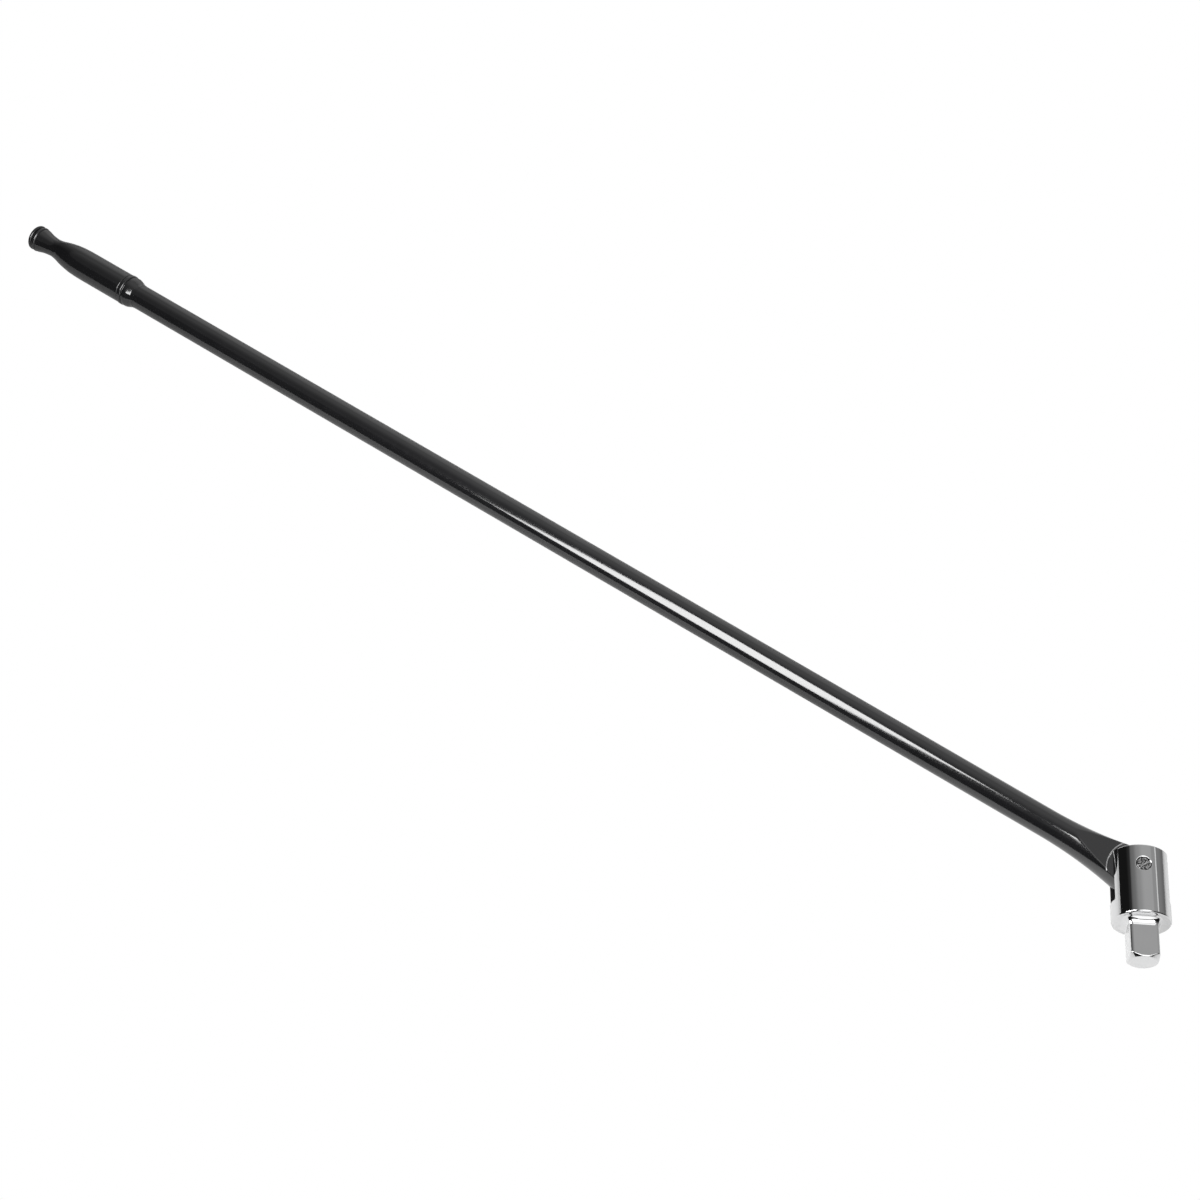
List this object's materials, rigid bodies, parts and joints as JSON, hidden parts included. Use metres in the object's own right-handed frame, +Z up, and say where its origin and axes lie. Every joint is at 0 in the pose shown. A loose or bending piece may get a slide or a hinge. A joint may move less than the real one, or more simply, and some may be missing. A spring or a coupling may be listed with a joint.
{
  "type": "breaker bar",
  "caption": "Long round bar with a waisted grip and a swivelling cylindrical head that carries a square drive with a sprung ball, for loosening tight nuts with a socket.",
  "frame": {"origin": "under the middle of the object's box, on the surface it lies on", "axes": "+X along the bar from the grip to the head, +Z up along the pivot pin; the square points to +X and -Y"},
  "size_m": [1.0294, 0.0774, 0.0385],
  "materials": {
    "black_coat": "gloss black coat on forged and turned steel",
    "chrome": "bright polished chrome plate",
    "pin_steel": "rough staked end, dark",
    "ball_steel": "polished bearing steel",
    "spring_steel": "drawn wire"
  },
  "bodies": {
    "handle": {"bar": "black_coat", "grip": "black_coat", "grip_collar": "black_coat", "grip_end_cap": "black_coat", "friction_ball": "ball_steel", "friction_spring": "spring_steel"},
    "head": {"drive_head": "chrome", "pivot_pin": "pin_steel", "detent_spring": "spring_steel"},
    "detent": {"detent_ball": "ball_steel"}
  },
  "joints": [
    {"name": "head_swivel", "type": "hinge", "parent": "handle", "child": "head", "pos_m": [0.47534, 0.01826, 0.01925], "axis": [0, 0, 1], "range_deg": [-35.9, 154]},
    {"name": "detent_press", "type": "slide", "parent": "head", "child": "detent", "axis": [0, 0, 1], "range_m": [0, 0.0012], "stiffness_N_per_m": 1500, "springref_m": -0.001, "deforming": ["detent_spring"]}
  ]
}
